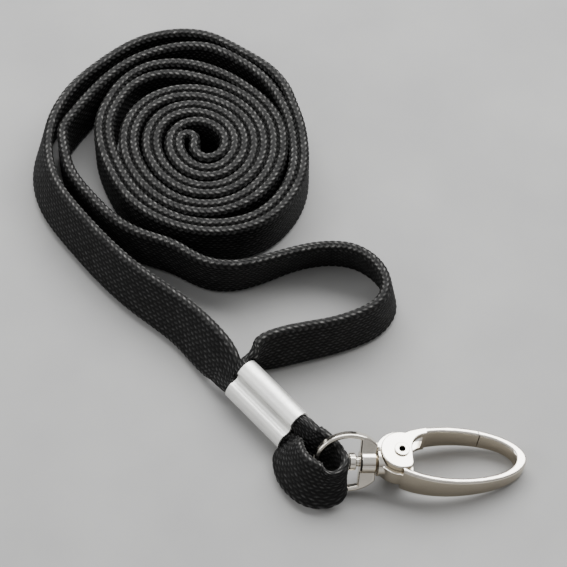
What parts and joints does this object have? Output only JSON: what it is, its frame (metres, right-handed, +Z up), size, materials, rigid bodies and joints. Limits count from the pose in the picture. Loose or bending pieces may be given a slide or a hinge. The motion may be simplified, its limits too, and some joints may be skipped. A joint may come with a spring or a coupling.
{
  "type": "lanyard",
  "caption": "Flat braided lanyard strap, doubled and rolled on edge, with a crimp ferrule, a short hitch loop, a swivel eye and an oval snap hook with a sprung gate.",
  "frame": {"origin": "middle of the base of the whole part's bounding box, on the plane that it lies on", "axes": "+Z up, out of the plane the lanyard lies on; +X along the width of the whole lay, from the rolled strap towards the hook's tip; +Y from the hook towards the rolled strap"},
  "size_m": [0.0913, 0.1034, 0.0111],
  "materials": {
    "strap": "matte black braid",
    "ferrule": "satin",
    "hardware": "polished nickel",
    "spring": "spring wire"
  },
  "bodies": {
    "strap": {"neck_strap": "strap", "ferrule": "ferrule"},
    "eye": {"swivel_eye": "hardware"},
    "hook": {"hook_body": "hardware", "swivel_stud": "hardware", "gate_pivot_rivet": "hardware", "gate_spring": "spring"},
    "gate": {"gate_lever": "hardware"}
  },
  "joints": [
    {"name": "eye_swing", "type": "hinge", "parent": "strap", "child": "eye", "pos_m": [0.01213, -0.04439, 0.00581], "axis": [0.0749, 0.5065, 0.859], "range_deg": [-8, 10]},
    {"name": "hook_swivel", "type": "hinge", "parent": "eye", "child": "hook", "pos_m": [0.02303, -0.04369, 0.00466], "axis": [0.9895, 0.0692, -0.1271], "continuous": true},
    {"name": "gate_swing", "type": "hinge", "parent": "hook", "child": "gate", "pos_m": [0.02298, -0.04299, 0.00466], "axis": [-0.1268, -0.0089, -0.9919], "range_deg": [0, 22], "stiffness_Nm_per_rad": 0.02, "springref_deg": -20.05}
  ]
}
